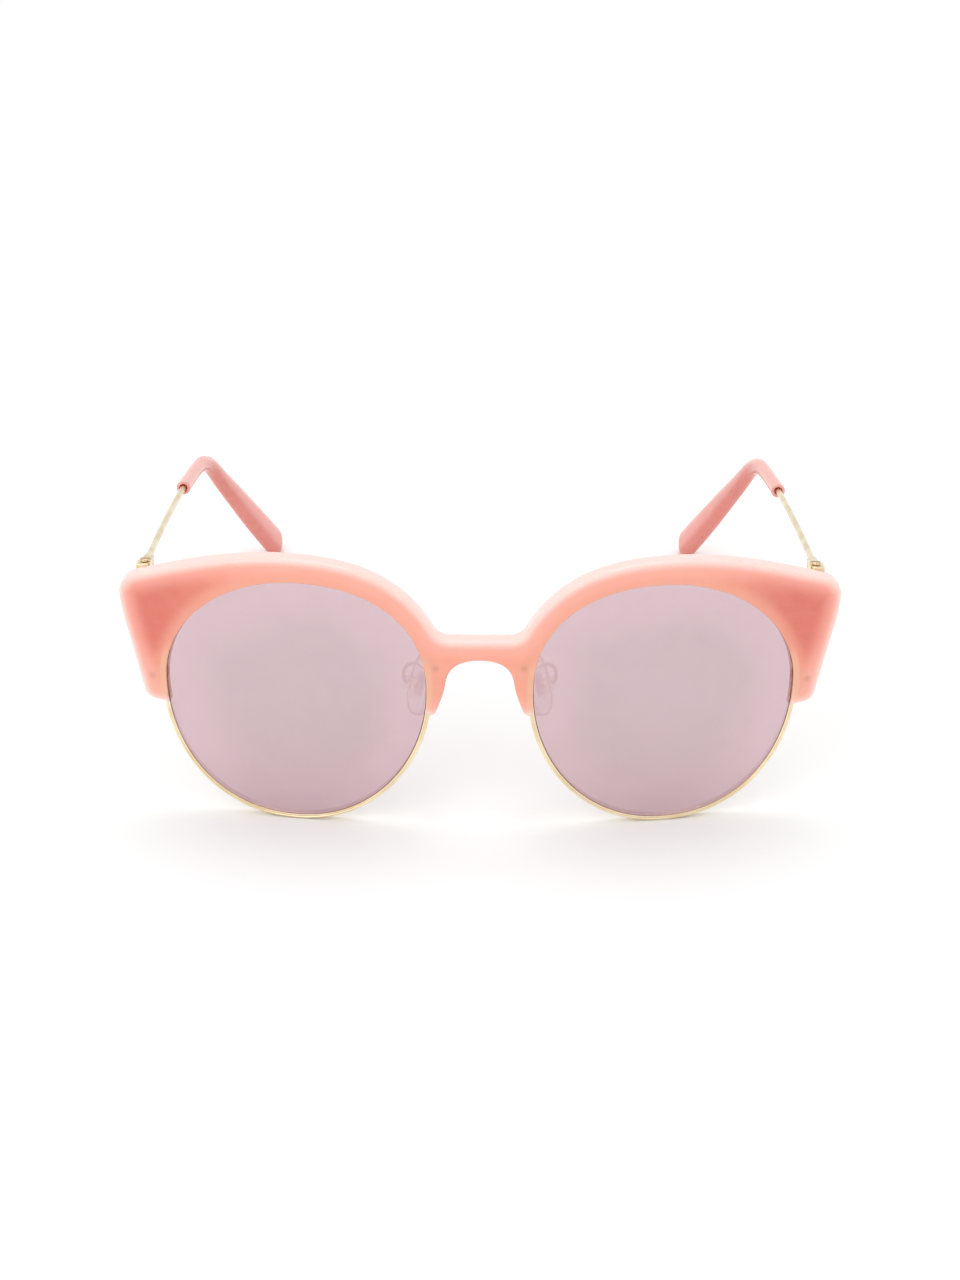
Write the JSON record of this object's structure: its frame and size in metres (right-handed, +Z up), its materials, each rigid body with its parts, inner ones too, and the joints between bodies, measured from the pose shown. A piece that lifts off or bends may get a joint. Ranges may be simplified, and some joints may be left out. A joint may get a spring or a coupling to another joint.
{
  "type": "cat eye sunglasses",
  "caption": "Folding cat-eye sunglasses with a moulded brow, wire lower rims, mirrored lenses, adjustable nose pads and thin wire temples with moulded tips.",
  "frame": {"origin": "centre of the object's box on the table plane, standing open on its rims and temple tips", "axes": "+X to the wearer's left, +Y from the lenses back along the temples, +Z up from the table"},
  "size_m": [0.1466, 0.14, 0.0583],
  "materials": {
    "brow_plastic": "translucent coral pink, polished",
    "tip_plastic": "translucent coral pink, satin",
    "gold_metal": "pale champagne gold plating, polished",
    "lens_mirror": "pink-grey mirror coating on tinted plastic",
    "pad_silicone": "clear silicone",
    "pad_insert": "clear hard plastic"
  },
  "bodies": {
    "front": {"brow_front": "brow_plastic", "lens_left": "lens_mirror", "rim_left": "gold_metal", "pad_arm_left": "gold_metal", "hinge_plate_left": "gold_metal", "hinge_screw_left": "gold_metal", "pad_screw_left": "gold_metal", "rim_screw_outer_left": "gold_metal", "rim_screw_inner_left": "gold_metal", "plate_screw_upper_left": "gold_metal", "plate_screw_lower_left": "gold_metal", "lens_right": "lens_mirror", "rim_right": "gold_metal", "pad_arm_right": "gold_metal", "hinge_plate_right": "gold_metal", "hinge_screw_right": "gold_metal", "pad_screw_right": "gold_metal", "rim_screw_outer_right": "gold_metal", "rim_screw_inner_right": "gold_metal", "plate_screw_upper_right": "gold_metal", "plate_screw_lower_right": "gold_metal"},
    "temple_left": {"temple_arm_left": "gold_metal", "temple_leaf_left": "gold_metal", "temple_tip_left": "tip_plastic"},
    "temple_right": {"temple_arm_right": "gold_metal", "temple_leaf_right": "gold_metal", "temple_tip_right": "tip_plastic"},
    "pad_left": {"nose_pad_left": "pad_silicone", "pad_insert_left": "pad_insert"},
    "pad_right": {"nose_pad_right": "pad_silicone", "pad_insert_right": "pad_insert"}
  },
  "joints": [
    {"name": "temple_left_fold", "type": "hinge", "parent": "front", "child": "temple_left", "pos_m": [0.0685, -0.05274, 0.04984], "axis": [0, 0.1527, 0.9883], "range_deg": [0, 82]},
    {"name": "temple_right_fold", "type": "hinge", "parent": "front", "child": "temple_right", "pos_m": [-0.0685, -0.05274, 0.04984], "axis": [0, -0.1527, -0.9883], "range_deg": [0, 70]},
    {"name": "pad_left_rock", "type": "hinge", "parent": "front", "child": "pad_left", "pos_m": [0.0139, -0.05983, 0.02796], "axis": [0.532, 0.8421, -0.0893], "range_deg": [-12, 12]},
    {"name": "pad_right_rock", "type": "hinge", "parent": "front", "child": "pad_right", "pos_m": [-0.0139, -0.05983, 0.02796], "axis": [-0.532, 0.8421, -0.0893], "range_deg": [-12, 12]}
  ]
}
